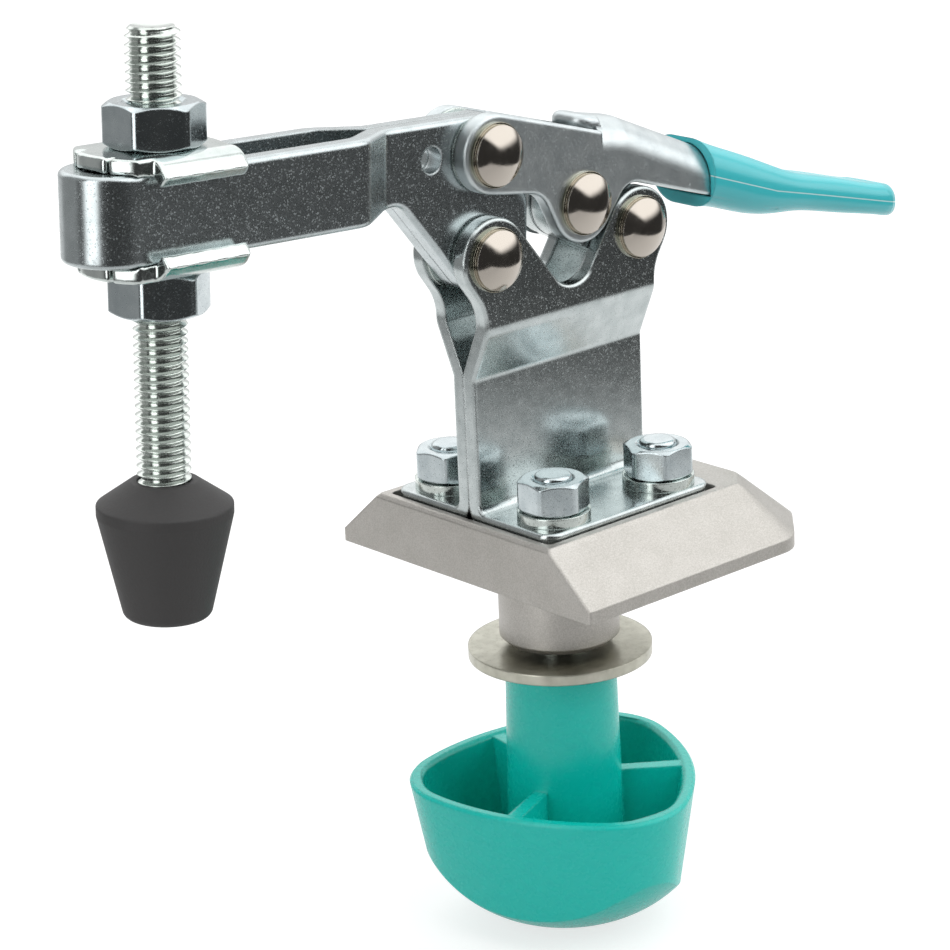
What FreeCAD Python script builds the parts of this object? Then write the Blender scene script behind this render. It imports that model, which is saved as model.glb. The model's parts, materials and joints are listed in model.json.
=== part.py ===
import FreeCAD, Part
import math
import os

# Quick clamp for a bench top with round holes, in millimetres.
# The origin is on the spigot axis in the plane of the bench top.
# +X runs from the spindle towards the handle, +Z is up, and the clamp is closed.
# The near side is -Y.

# Two places this close are the same
TOUCH = 0.01

# Cutting shapes reach this far past the piece that they cut
SPARE = 10.0

# Base block
BLOCK_TOP = 10.0
BLOCK_BAND = 2.1
BLOCK_TOP_HALF = 20.45
BLOCK_FOOT_HALF = 28.9
BLOCK_FRONT = -20.4
BLOCK_BACK_TOP = 25.8
BLOCK_BACK_FOOT = 34.2
BLOCK_CORNER_TOP = 3.9
BLOCK_CORNER_FOOT = 9.3
BLOCK_EDGE = 0.6
BLOCK_FRONT_ROUND = 0.5
BLOCK_TOP_ROUND = 1.2
BLOCK_FOOT_ROUND = 6.0
RECESS_DEPTH = 1.53
RECESS_GAP = 0.4
RECESS_ROUND = 1.0
SPIGOT_RADIUS = 9.75
SPIGOT_LENGTH = 15.0
SPIGOT_CHAMFER = 1.0

# Base plates
PLATE_THICK = 2.5
PLATE_FRONT = -18.35
PLATE_BACK = 17.75
PLATE_FLANGE_REACH = 18.2
PLATE_FLANGE_ROUND = 3.0
PLATE_BEND = 1.5
PLATE_GAP_HALF = 3.5
JOGGLE_LOW = 33.0
JOGGLE_HIGH = 41.0
PLATE_LOBE = 6.4
PLATE_WAIST_ROUND = 8.0
PLATE_WAIST_SPREAD = 1.03
PLATE_NOTCH_X = 0.1
PLATE_NOTCH_FLOOR = 44.9
PLATE_NOTCH_ROUND = 4.9
PLATE_EDGE_ROLL = 0.5

# Pivots of the linkage, closed
ARM_PIVOT = (-16.0, 52.1)
ARM_PIVOT_REACH = 16.02
HANDLE_ARM_PIVOT = (-15.2, 68.1)
HANDLE_LINK_PIVOT = (2.9, 57.26)
LINK_PIVOT = (14.6, 51.2)
RIVET_SHANK = 3.0
RIVET_COLLAR = 5.0
RIVET_COLLAR_THICK = 0.5
RIVET_HEAD = 4.65
RIVET_HEAD_RIM = 0.6
RIVET_HEAD_HEIGHT = 2.4
PIVOT_GAP = 0.06
SPACER_RADIUS = 5.9

# Toggle links
LINK_GAP = 0.15
LINK_END = 6.0

# Clamp arm, in its own plane: u from the pivot towards the handle, w up
ARM_TILT = 3.2
ARM_THICK = 2.95
ARM_SEAM_HALF = 0.05
SPINDLE_PLAY = 0.38
ARM_BEND_FRONT = -26.5
ARM_BEND_REAR = -19.5
ARM_BEND_ROUND = 3.0
ARM_SLOT_AHEAD = 7.64
ARM_TOP = 21.6
ARM_BOTTOM = 8.7
ARM_LOBE = 5.5
ARM_HEEL_REACH = 9.5
ARM_HEEL_ROUND = 2.5
ARM_HEEL_LOW = 1.5
ARM_HEEL_HIGH = 7.0
ARM_TOP_LOBE = 5.6
ARM_TOP_LOBE_SHIFT = 0.9
ARM_THROAT = (-17.6, 6.3)
ARM_THROAT_ROUND = 3.5
ARM_SLOT_HALF = 2.15
ARM_SLOT_RISE = 0.5
ARM_SLOT_RADIUS = 3.65
ARM_HOLE = (-10.2, 16.05)
ARM_HOLE_RADIUS = 2.0
ARM_EDGE_ROLL = 0.8
ARM_SAG_ROUND = 20.0
ARM_STRAP_END = 20.0

# Handle channel
HANDLE_THICK = 2.5
HANDLE_ARM_LOBE = 6.1
HANDLE_LINK_LOBE = 6.3
HANDLE_BEND = 2.6
HANDLE_FOLD_LAP = 0.3
HANDLE_EDGE_ROLL = 0.5
HANDLE_SHOULDER_X = 7.0
HANDLE_SHOULDER_LOW = 67.8
HANDLE_CREST = (13.5, 68.55)
HANDLE_SLOPE = 23.9
TAB_SLOPE = 12.0
HANDLE_THROAT = (-9.0, 55.8)
HANDLE_THROAT_ROUND = 5.0
HANDLE_NOTCH = (13.6, 54.6)
HANDLE_NOTCH_ROUND = 3.8
HANDLE_END = 46.0
HANDLE_END_DEPTH = 6.0
TAB_FRONT = 4.3
TAB_HALF = 4.2
TAB_ROUND = 3.0
TAB_EDGE_ROUND = 1.2
TAB_SLIT = 0.35

# Plastic grip: stations along X with centre height, half width and half height
GRIP_STATIONS = [
    (30.5, 56.4, 7.2, 5.6),
    (38.0, 53.7, 7.4, 5.0),
    (45.0, 51.3, 7.2, 4.4),
    (52.0, 49.4, 6.5, 3.3),
    (58.0, 47.9, 6.1, 3.05),
    (66.0, 45.85, 6.0, 2.9),
    (74.0, 43.85, 5.85, 2.8),
]
GRIP_TIP = 79.2
GRIP_TIP_CENTRE = 42.4
GRIP_TIP_PLAN_ROUND = 5.75
GRIP_TIP_SIDE_ROUND = 2.5
GRIP_TIP_ANGLES = (20, 35, 50, 62, 72, 80, 86)
GRIP_CORNER_SHARE = 0.9
GRIP_FIT = 0.12

# Spindle, its nuts and the flanged washers, on an axis along w
SPINDLE_OFFSET = -58.46
SPINDLE_RADIUS = 3.92
SPINDLE_TOP = 40.55
SPINDLE_TIP_CHAMFER = 0.8
SPINDLE_GAP = 0.06
FLANGED_RADIUS = 10.7
FLANGED_SHIFT = -0.85
FLANGED_THICK = 2.2
FLANGED_FOLD_GAP = 0.25
FLANGED_BEND = 1.4
FLANGED_EDGE_ROUND = 0.45
FLAP_DROP = 2.18
FLAP_FRONT = -5.9
FLAP_BACK = 8.8
FLAP_ROUND = 3.0
FLANGED_SLIT_Y = 3.6
FLANGED_SLIT_HALF = 0.25
FLANGED_SLIT_DEPTH = 2.0
FLANGED_BORE_GAP = 0.25
SEAT_GAP = 0.05
SPINDLE_NUT_FLATS = 13.0
SPINDLE_NUT_HEIGHT = 6.3
SPINDLE_NUT_TURNS = (31.0, 35.0)
CAP_TOP = -24.4
CAP_NECK = 4.9
CAP_FLARE_DROP = 3.5
CAP_RADIUS = 9.9
CAP_RIM = 1.5
CAP_FOOT_RADIUS = 6.3
CAP_HEIGHT = 20.5
CAP_FOOT_ROUND = 1.4
CAP_EDGE_ROUND = 0.4
CAP_SOCKET = 12.0

# Base screws
SCREW_X = 11.4
SCREW_EDGE = 6.2
SCREW_RADIUS = 2.95
SCREW_HOLE_GAP = 0.25
SCREW_TOP = 18.3
SCREW_FOOT = 1.6
SCREW_DOME = 0.7
SCREW_WASHER_RADIUS = 5.75
SCREW_WASHER_THICK = 1.6
SCREW_NUT_FLATS = 10.0
SCREW_NUT_HEIGHT = 5.0
SCREW_NUT_TURNS = {"front": 25.0, "right": 0.0, "left": 40.0, "rear": 12.0}

# Clamp washer, hand knob and its stud
CLAMP_WASHER_TOP = -16.08
CLAMP_WASHER_RADIUS = 14.94
CLAMP_WASHER_THICK = 1.77
STUD_RADIUS = 5.0
STUD_TOP = 7.0
STUD_GAP = 0.06
STUD_GRIP = 26.0
KNOB_SHAFT_TOP_RADIUS = 9.0
KNOB_SHAFT_TAPER = 0.0205
KNOB_SHAFT_ROUND = 0.5
KNOB_RIM = 20.75
KNOB_TIP_RADIUS = 25.6
KNOB_SIDE_RADIUS = 21.4
KNOB_TIP_ROUND = 13.0
KNOB_LOBE_ANGLE = 22.0
KNOB_LOBES = 3
KNOB_DRAFT = 0.0071
KNOB_BOWL_RADIUS = 25.75
KNOB_BOWL_DEPTH = 24.9
KNOB_BOWL_POWER = 2.3
KNOB_BOWL_POINTS = 14
KNOB_EDGE_CHAMFER = 0.5
KNOB_WALL = 2.2
KNOB_FLOOR = 19.4
KNOB_RIB_THICK = 2.4
KNOB_RIB_DROP = 0.3


def heading(first, second):
    """Direction of the line that is tangent to two circles (a, b, radius), walked anticlockwise."""
    run = math.hypot(second[0] - first[0], second[1] - first[1])
    turn = math.asin((second[2] - first[2]) / run)
    return math.atan2(second[1] - first[1], second[0] - first[0]) - turn


def beside(place, direction, distance):
    """The point at a distance to the right of a place, looking along a direction."""
    return (place[0] + distance * math.sin(direction), place[1] - distance * math.cos(direction))


def belt(circles, plane):
    """Closed anticlockwise wire drawn tight round circles (a, b, radius).

    A positive radius is a round corner, a negative one a hollow, and zero a sharp corner.
    The plane turns the flat places into vectors.
    """
    ring = [c for i, c in enumerate(circles) if math.dist(c[:2], circles[i - 1][:2]) > TOUCH / 1000]
    count = len(ring)
    headings = [heading(ring[i], ring[(i + 1) % count]) for i in range(count)]
    edges = []
    for i in range(count):
        circle = ring[(i + 1) % count]
        start = plane(*beside(ring[i], headings[i], ring[i][2]))
        end = plane(*beside(circle, headings[i], circle[2]))
        if start.distanceToPoint(end) > TOUCH / 1000:
            edges.append(Part.LineSegment(start, end).toShape())
        if circle[2] != 0:
            sweep = headings[(i + 1) % count] - headings[i]
            sweep = sweep % math.tau if circle[2] > 0 else -((-sweep) % math.tau)
            middle = plane(*beside(circle, headings[i] + sweep / 2, circle[2]))
            finish = plane(*beside(circle, headings[i] + sweep, circle[2]))
            edges.append(Part.Arc(end, middle, finish).toShape())
    return Part.Wire(edges)


def corner(before, place, after, radius):
    """The circle of a signed radius that rounds the corner at a place of a path."""
    inward = math.atan2(place[1] - before[1], place[0] - before[0])
    outward = math.atan2(after[1] - place[1], after[0] - place[0])
    turn = (outward - inward + math.pi) % math.tau - math.pi
    signed = math.copysign(radius, turn)
    back = radius * math.tan(abs(turn) / 2)
    start = (place[0] - back * math.cos(inward), place[1] - back * math.sin(inward))
    return (*beside(start, inward, -signed), signed)


def rounded(places, plane):
    """Closed wire through places (a, b, radius), listed anticlockwise, each corner rounded."""
    count = len(places)
    circles = [
        corner(places[i - 1], places[i], places[(i + 1) % count], places[i][2])
        for i in range(count)
    ]
    return belt(circles, plane)


def folded(path, thick, bend, plane):
    """Closed wire of a bent sheet along the middle of its thickness, with one inside bend radius."""
    half = thick / 2
    bends = [
        corner(path[i - 1], path[i], path[i + 1], bend + half) for i in range(1, len(path) - 1)
    ]
    first = math.atan2(path[1][1] - path[0][1], path[1][0] - path[0][0])
    last = math.atan2(path[-1][1] - path[-2][1], path[-1][0] - path[-2][0])
    right = [(a, b, radius + half) for a, b, radius in bends]
    left = [(a, b, half - radius) for a, b, radius in reversed(bends)]
    ends = [(*beside(path[-1], last, half), 0), (*beside(path[-1], last, -half), 0)]
    starts = [(*beside(path[0], first, -half), 0), (*beside(path[0], first, half), 0)]
    return belt([starts[1]] + right + ends + left + [starts[0]], plane)


def side(y=0.0):
    """Plane of a side outline, in X and Z."""
    return lambda a, b: FreeCAD.Vector(a, y, b)


def plan(z=0.0):
    """Plane of a plan outline, in X and Y."""
    return lambda a, b: FreeCAD.Vector(a, b, z)


def section(x=0.0):
    """Plane of a cross-section, in Y and Z."""
    return lambda a, b: FreeCAD.Vector(x, a, b)


def prism(wire, x=0.0, y=0.0, z=0.0):
    """Solid swept from a flat wire along a vector."""
    return Part.Face(wire).extrude(FreeCAD.Vector(x, y, z))


def box(x_range, y_range, z_range):
    """Block between two limits in each direction."""
    low = FreeCAD.Vector(x_range[0], y_range[0], z_range[0])
    sizes = [limits[1] - limits[0] for limits in (x_range, y_range, z_range)]
    return Part.makeBox(*sizes, low)


def upright(radius, bottom, top, x=0.0, y=0.0):
    """Cylinder along Z between two heights."""
    return Part.makeCylinder(radius, top - bottom, FreeCAD.Vector(x, y, bottom))


def crosswise(radius, pivot, half):
    """Cylinder along Y through a pivot, the same length on both sides."""
    start = FreeCAD.Vector(pivot[0], -half, pivot[1])
    return Part.makeCylinder(radius, 2 * half, start, FreeCAD.Vector(0, 1, 0))


def turned(profile):
    """Solid of revolution about Z from corners (radius, height), with a round as a third value."""
    places = [(*place, 0)[:3] for place in profile]
    face = Part.Face(rounded(places, side()))
    return face.revolve(FreeCAD.Vector(0, 0, 0), FreeCAD.Vector(0, 0, 1), 360)


def rolled(shape, radius, chosen):
    """The shape with a fillet on each edge that a test chooses."""
    return shape.makeFillet(radius, [edge for edge in shape.Edges if chosen(edge)])


def far_twin(shape):
    """Mirror image across the middle plane of the clamp."""
    return shape.mirror(FreeCAD.Vector(0, 0, 0), FreeCAD.Vector(0, 1, 0))


def nut(flats, height, bore, turn):
    """Hexagon nut standing on Z = 0, with both ends chamfered, one corner at the given angle."""
    points = flats / math.sqrt(3)
    corners = [
        (points * math.cos(math.radians(turn + 60 * i)), points * math.sin(math.radians(turn + 60 * i)), 0)
        for i in range(6)
    ]
    chamfer = (points - flats / 2) * math.tan(math.radians(30))
    limit = turned(
        [
            (bore, 0),
            (flats / 2, 0),
            (points, chamfer),
            (points, height - chamfer),
            (flats / 2, height),
            (bore, height),
        ]
    )
    return prism(belt(corners, plan()), z=height).common(limit)


def washer(radius, bore, bottom, thick, x=0.0, y=0.0):
    """Flat ring along Z."""
    return upright(radius, bottom, bottom + thick, x, y).cut(upright(bore, bottom, bottom + thick, x, y))


# Heights and widths that follow from the driving dimensions
FLOOR = BLOCK_TOP - RECESS_DEPTH
FLANGE_TOP = FLOOR + PLATE_THICK
PLATE_OUTER = PLATE_GAP_HALF + PLATE_THICK
HANDLE_INNER = PLATE_GAP_HALF
HANDLE_OUTER = HANDLE_INNER + HANDLE_THICK
ARM_LEG_OUTER = ARM_SEAM_HALF + ARM_THICK
ARM_HALF = SPINDLE_RADIUS + SPINDLE_PLAY + ARM_THICK
ARM_LOOP_CENTRE = SPINDLE_OFFSET - ARM_SLOT_AHEAD
FLANGED_FOLD = ARM_HALF + FLANGED_FOLD_GAP
SCREW_Y = PLATE_FLANGE_REACH - SCREW_EDGE
SCREW_SEAT = FLANGE_TOP + SCREW_WASHER_THICK
CLAMP_WASHER_BOTTOM = CLAMP_WASHER_TOP - CLAMP_WASHER_THICK
KNOB_RIM_HEIGHT = CLAMP_WASHER_BOTTOM - KNOB_RIM
SCREWS = {
    "front": (-SCREW_X, -SCREW_Y),
    "right": (SCREW_X, -SCREW_Y),
    "left": (-SCREW_X, SCREW_Y),
    "rear": (SCREW_X, SCREW_Y),
}


def block_ring(height, half, back, cut, back_round, inset):
    """Outline of the block at one height: square in front, with cut corners at the back."""
    front = BLOCK_FRONT + inset
    rear = back - inset
    wide = half - inset
    places = [
        (front, -wide, BLOCK_FRONT_ROUND),
        (rear - cut, -wide, back_round),
        (rear, cut - wide, back_round),
        (rear, wide - cut, back_round),
        (rear - cut, wide, back_round),
        (front, wide, BLOCK_FRONT_ROUND),
    ]
    return rounded(places, plan(height))


def base_block():
    """Block with sloped sides, a recess for the plates and a spigot for the bench hole."""
    foot = block_ring(0, BLOCK_FOOT_HALF, BLOCK_BACK_FOOT, BLOCK_CORNER_FOOT, BLOCK_FOOT_ROUND, 0)
    band = block_ring(
        BLOCK_BAND, BLOCK_FOOT_HALF, BLOCK_BACK_FOOT, BLOCK_CORNER_FOOT, BLOCK_FOOT_ROUND, 0
    )
    shoulder = block_ring(
        BLOCK_TOP - BLOCK_EDGE, BLOCK_TOP_HALF, BLOCK_BACK_TOP, BLOCK_CORNER_TOP, BLOCK_TOP_ROUND, 0
    )
    top = block_ring(
        BLOCK_TOP, BLOCK_TOP_HALF, BLOCK_BACK_TOP, BLOCK_CORNER_TOP, BLOCK_TOP_ROUND, BLOCK_EDGE
    )
    shape = Part.makeLoft([foot, band, shoulder, top], True, True)
    reach = PLATE_FLANGE_REACH + RECESS_GAP
    front = PLATE_FRONT - RECESS_GAP
    back = PLATE_BACK + RECESS_GAP
    recess = [
        (front, -reach, RECESS_ROUND),
        (back, -reach, RECESS_ROUND),
        (back, reach, RECESS_ROUND),
        (front, reach, RECESS_ROUND),
    ]
    shape = shape.cut(prism(rounded(recess, plan(FLOOR)), z=BLOCK_TOP))
    spigot = turned(
        [
            (0, 0.5),
            (SPIGOT_RADIUS, 0.5),
            (SPIGOT_RADIUS, SPIGOT_CHAMFER - SPIGOT_LENGTH),
            (SPIGOT_RADIUS - SPIGOT_CHAMFER, -SPIGOT_LENGTH),
            (0, -SPIGOT_LENGTH),
        ]
    )
    shape = shape.fuse(spigot)
    shape = shape.cut(upright(STUD_RADIUS + STUD_GAP, -SPIGOT_LENGTH - 1, BLOCK_TOP))
    for x, y in SCREWS.values():
        shape = shape.cut(upright(SCREW_RADIUS, SCREW_FOOT, BLOCK_TOP, x, y))
    return shape.removeSplitter()


def waist(pivot, edge):
    """Hollow round that leads from an upright edge of the plate into the lobe of a pivot."""
    outward = math.copysign(PLATE_WAIST_ROUND, edge)
    across = abs(edge + outward - pivot[0])
    drop = math.sqrt((PLATE_WAIST_ROUND + PLATE_LOBE) ** 2 - across**2)
    return (edge + outward, pivot[1] - PLATE_WAIST_SPREAD * drop, -PLATE_WAIST_ROUND)


def plate_outline():
    """Side outline of a base plate, from its foot to the lobes round its two pivots."""
    notch_middle = PLATE_NOTCH_FLOOR + PLATE_NOTCH_ROUND
    circles = [
        (PLATE_FRONT, FLOOR - 1, 0),
        (PLATE_BACK, FLOOR - 1, 0),
        waist(LINK_PIVOT, PLATE_BACK),
        (*LINK_PIVOT, PLATE_LOBE),
        (PLATE_NOTCH_X, notch_middle, -PLATE_NOTCH_ROUND),
        (*ARM_PIVOT, PLATE_LOBE),
        waist(ARM_PIVOT, PLATE_FRONT),
    ]
    return belt(circles, side(0))


def far_base_plate():
    """Bent plate: foot flange, lower leaf on the middle plane, joggle and upper leaf."""
    low = PLATE_THICK / 2
    high = PLATE_GAP_HALF + PLATE_THICK / 2
    path = [
        (PLATE_FLANGE_REACH, FLOOR + low),
        (low, FLOOR + low),
        (low, JOGGLE_LOW),
        (high, JOGGLE_HIGH),
        (high, LINK_PIVOT[1] + 3 * PLATE_LOBE),
    ]
    profile = folded(path, PLATE_THICK, PLATE_BEND, section(PLATE_FRONT - SPARE))
    sheet = prism(profile, x=PLATE_BACK - PLATE_FRONT + 2 * SPARE)
    shape = sheet.common(prism(plate_outline(), y=PLATE_FLANGE_REACH + 1))

    def flange_corner(edge):
        bounds = edge.BoundBox
        upright_edge = bounds.XLength < TOUCH and bounds.ZLength > PLATE_THICK - TOUCH
        return upright_edge and bounds.YMin > PLATE_FLANGE_REACH - TOUCH

    def upper_rim(edge):
        return edge.BoundBox.YMin > PLATE_OUTER - TOUCH and edge.BoundBox.ZMax > JOGGLE_HIGH + 2

    shape = rolled(shape, PLATE_FLANGE_ROUND, flange_corner)
    shape = rolled(shape, PLATE_EDGE_ROLL, upper_rim)
    for pivot in (ARM_PIVOT, LINK_PIVOT):
        shape = shape.cut(crosswise(RIVET_SHANK, pivot, PLATE_OUTER + 1))
    for x, y in SCREWS.values():
        shape = shape.cut(upright(SCREW_RADIUS + SCREW_HOLE_GAP, 0, FLANGE_TOP + 1, x, y))
    return shape


def rivet(pivot):
    """Rivet across the clamp with a collar and a domed head on each side."""
    rim = PLATE_OUTER + RIVET_COLLAR_THICK + RIVET_HEAD_RIM
    top = PLATE_OUTER + RIVET_HEAD_HEIGHT
    rise = top - rim
    dome = (RIVET_HEAD**2 + rise**2) / (2 * rise)
    shape = crosswise(RIVET_SHANK, pivot, PLATE_OUTER)
    for outward in (-1, 1):
        direction = FreeCAD.Vector(0, outward, 0)
        foot = FreeCAD.Vector(pivot[0], outward * PLATE_OUTER, pivot[1])
        collar = Part.makeCylinder(RIVET_COLLAR, RIVET_COLLAR_THICK, foot, direction)
        head = Part.makeCylinder(RIVET_HEAD, RIVET_HEAD_HEIGHT, foot, direction)
        ball = Part.makeSphere(dome, foot + direction * (RIVET_HEAD_HEIGHT - dome))
        shape = shape.fuse(collar.fuse(head.common(ball)))
    return shape


def far_spacer(pivot):
    """Thin washer between the arm and the sheet beside it."""
    ring = crosswise(SPACER_RADIUS, pivot, PLATE_GAP_HALF)
    ring = ring.cut(crosswise(RIVET_SHANK, pivot, PLATE_GAP_HALF))
    along = (pivot[0] - SPARE, pivot[0] + SPARE)
    upward = (pivot[1] - SPARE, pivot[1] + SPARE)
    return ring.common(box(along, (ARM_LEG_OUTER, PLATE_GAP_HALF), upward))


def far_toggle_link():
    """Flat link between the handle's lower pivot and the rear pivot of the base."""
    outer = PLATE_GAP_HALF - LINK_GAP
    wire = belt([(*LINK_PIVOT, LINK_END), (*HANDLE_LINK_PIVOT, LINK_END)], side(LINK_GAP))
    shape = prism(wire, y=outer - LINK_GAP)
    for pivot in (LINK_PIVOT, HANDLE_LINK_PIVOT):
        shape = shape.cut(crosswise(RIVET_SHANK + PIVOT_GAP, pivot, PLATE_GAP_HALF))
    return shape


def tilted(shape):
    """Takes a piece from the plane of the arm to its place on the clamp."""
    shape.rotate(FreeCAD.Vector(0, 0, 0), FreeCAD.Vector(0, 1, 0), ARM_TILT)
    shape.translate(FreeCAD.Vector(ARM_PIVOT[0], 0, ARM_PIVOT[1]))
    return shape


def arm_strap():
    """Plan of the arm: one strap, closed by a loop in front, its legs side by side behind."""
    rear = ARM_SEAM_HALF + ARM_THICK / 2
    front = ARM_HALF - ARM_THICK / 2
    tip = ARM_LOOP_CENTRE - front
    far_leg = [(ARM_STRAP_END, rear), (ARM_BEND_REAR, rear), (ARM_BEND_FRONT, front), (tip, front)]
    near_leg = [(u, -y) for u, y in reversed(far_leg)]
    path = far_leg + near_leg
    half = ARM_THICK / 2
    circles = []
    for i in range(1, len(path) - 1):
        radius = front if i in (3, 4) else ARM_BEND_ROUND + half
        circles.append(corner(path[i - 1], path[i], path[i + 1], radius))
    outer = [(a, b, radius + half) for a, b, radius in circles]
    inner = [(a, b, half - radius) for a, b, radius in reversed(circles)]
    far_end = [(ARM_STRAP_END, rear - half, 0), (ARM_STRAP_END, rear + half, 0)]
    near_end = [(ARM_STRAP_END, -rear - half, 0), (ARM_STRAP_END, half - rear, 0)]
    return belt(far_end[1:] + outer + near_end + inner + far_end[:1], plan(-SPARE))


def arm_outline():
    """Side of the arm: a straight bar in front, and behind it lobes for its two pivots."""
    circles = [
        (ARM_LOOP_CENTRE - 2 * ARM_HALF, ARM_BOTTOM, 0),
        (ARM_BEND_FRONT, ARM_BOTTOM + ARM_SAG_ROUND, ARM_SAG_ROUND),
        (*ARM_THROAT, -ARM_THROAT_ROUND),
        (0, 0, ARM_LOBE),
        (ARM_HEEL_REACH - ARM_HEEL_ROUND, ARM_HEEL_LOW, ARM_HEEL_ROUND),
        (ARM_HEEL_REACH - ARM_HEEL_ROUND, ARM_HEEL_HIGH, ARM_HEEL_ROUND),
        (ARM_TOP_LOBE_SHIFT, ARM_TOP - ARM_TOP_LOBE, ARM_TOP_LOBE),
        (ARM_LOOP_CENTRE - 2 * ARM_HALF, ARM_TOP, 0),
    ]
    return belt(circles, side(-ARM_HALF - 1))


def clamp_arm():
    """Bent strap arm with rolled edges, its pivot hole and the play of the handle's rivet."""
    shape = prism(arm_strap(), z=ARM_TOP + 2 * SPARE).common(prism(arm_outline(), y=2 * ARM_HALF + 2))

    def on_outer_edge(edge):
        a, b = edge.ParameterRange
        place = edge.valueAt((a + b) / 2)
        bounds = edge.BoundBox
        rear = abs(abs(place.y) - ARM_LEG_OUTER) < TOUCH and bounds.YLength < TOUCH
        front = bounds.ZLength < TOUCH and abs(place.y) > ARM_HALF - TOUCH
        return rear or front

    shape = rolled(shape, ARM_EDGE_ROLL, on_outer_edge)
    reach = ARM_HALF + 1
    shape = shape.cut(crosswise(RIVET_SHANK + PIVOT_GAP, (0, 0), reach))
    shape = shape.cut(crosswise(ARM_HOLE_RADIUS, ARM_HOLE, reach))
    middle = ARM_PIVOT_REACH + ARM_SLOT_RISE
    play = belt(
        [(-ARM_SLOT_HALF, middle, ARM_SLOT_RADIUS), (ARM_SLOT_HALF, middle, ARM_SLOT_RADIUS)],
        side(-reach),
    )
    shape = shape.cut(prism(play, y=2 * reach))
    return tilted(shape)


def handle_back(x, depth=0.0):
    """Height of the channel's back, which falls gently to its crest and then faster to the grip."""
    slope = math.radians(TAB_SLOPE if x < HANDLE_CREST[0] else HANDLE_SLOPE)
    return HANDLE_CREST[1] - math.tan(slope) * (x - HANDLE_CREST[0]) - depth / math.cos(slope)


def handle_cheeks():
    """Flat sides of the handle round both pivots, up to where the channel's back begins to round."""
    fold = HANDLE_THICK + HANDLE_BEND
    circles = [
        (*HANDLE_ARM_PIVOT, HANDLE_ARM_LOBE),
        (*HANDLE_THROAT, -HANDLE_THROAT_ROUND),
        (*HANDLE_LINK_PIVOT, HANDLE_LINK_LOBE),
        (*HANDLE_NOTCH, -HANDLE_NOTCH_ROUND),
        (HANDLE_END, handle_back(HANDLE_END) - HANDLE_END_DEPTH, 0),
        (HANDLE_END, handle_back(HANDLE_END, fold), 0),
        (HANDLE_CREST[0], handle_back(HANDLE_CREST[0], fold), 0),
        (HANDLE_SHOULDER_X, handle_back(HANDLE_SHOULDER_X, fold), 0),
        (HANDLE_SHOULDER_X, HANDLE_SHOULDER_LOW, 0),
    ]
    shape = prism(belt(circles, side(-HANDLE_OUTER)), y=2 * HANDLE_OUTER)

    def rim(edge):
        bounds = edge.BoundBox
        on_side = bounds.YLength < TOUCH and bounds.XLength > TOUCH
        in_front = bounds.XMax < HANDLE_SHOULDER_X + TOUCH
        return on_side and (in_front or bounds.ZMax < handle_back(bounds.XMin, fold) - 1)

    return rolled(shape, HANDLE_EDGE_ROLL, rim)


def handle_fold():
    """Rounded back of the channel, from its shoulder to its end in the grip."""
    overlap = HANDLE_THICK + HANDLE_BEND + HANDLE_FOLD_LAP
    stops = (HANDLE_SHOULDER_X, HANDLE_CREST[0], HANDLE_END)
    under = [(x, handle_back(x, overlap), 0) for x in stops]
    over = [(x, handle_back(x), 0) for x in reversed(stops)]
    shape = prism(rounded(under + over, side(-HANDLE_OUTER)), y=2 * HANDLE_OUTER)

    def ridge(edge):
        bounds = edge.BoundBox
        on_back = abs(bounds.ZMax - handle_back(bounds.XMin)) < TOUCH
        return on_back and bounds.YLength < TOUCH and bounds.XLength > 1

    return rolled(shape, HANDLE_THICK + HANDLE_BEND, ridge)


def handle_hollow():
    """Space between the cheeks, under the channel's back and open in front of it."""
    front = HANDLE_ARM_PIVOT[0] - 3 * HANDLE_ARM_LOBE
    end = HANDLE_END + 1
    places = [
        (front, 0, 0),
        (end, 0, 0),
        (end, handle_back(end, HANDLE_THICK), 0),
        (HANDLE_CREST[0], handle_back(HANDLE_CREST[0], HANDLE_THICK), 0),
        (front, handle_back(front, HANDLE_THICK), 0),
    ]
    under = prism(rounded(places, side(-HANDLE_INNER)), y=2 * HANDLE_INNER)

    def ridge(edge):
        bounds = edge.BoundBox
        return bounds.YLength < TOUCH and bounds.ZMin > 1 and bounds.XLength > 1

    ahead = box((front, HANDLE_SHOULDER_X), (-HANDLE_INNER, HANDLE_INNER), (0, 2 * HANDLE_CREST[1]))
    return rolled(under, HANDLE_BEND, ridge).fuse(ahead)


def handle_tab(gap=0.0):
    """Free front end of the channel's back, with a gap round it when it is cut from the cheeks."""
    front = TAB_FRONT - gap
    half = TAB_HALF + gap
    rear = HANDLE_SHOULDER_X + HANDLE_THICK / 2
    leaf = [
        (front, handle_back(front, HANDLE_THICK + gap), 0),
        (rear, handle_back(rear, HANDLE_THICK + gap), 0),
        (rear, handle_back(rear, -gap), 0),
        (front, handle_back(front, -gap), 0),
    ]
    places = [(front, -half, TAB_ROUND), (rear, -half, 0), (rear, half, 0), (front, half, TAB_ROUND)]
    shape = prism(rounded(leaf, side(-half)), y=2 * half)
    shape = shape.common(prism(rounded(places, plan()), z=2 * HANDLE_CREST[1]))
    return rolled(shape, TAB_EDGE_ROUND, lambda e: top_of_tab(e, gap))


def top_of_tab(edge, gap):
    """Whether an edge runs round the tab's upper face, apart from its root."""
    start, end = [edge.valueAt(limit) for limit in edge.ParameterRange]
    middle = edge.valueAt(sum(edge.ParameterRange) / 2)
    on_top = all(abs(place.z - handle_back(place.x, -gap)) < TOUCH for place in (start, middle, end))
    return on_top and min(start.x, end.x) < HANDLE_SHOULDER_X


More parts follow.
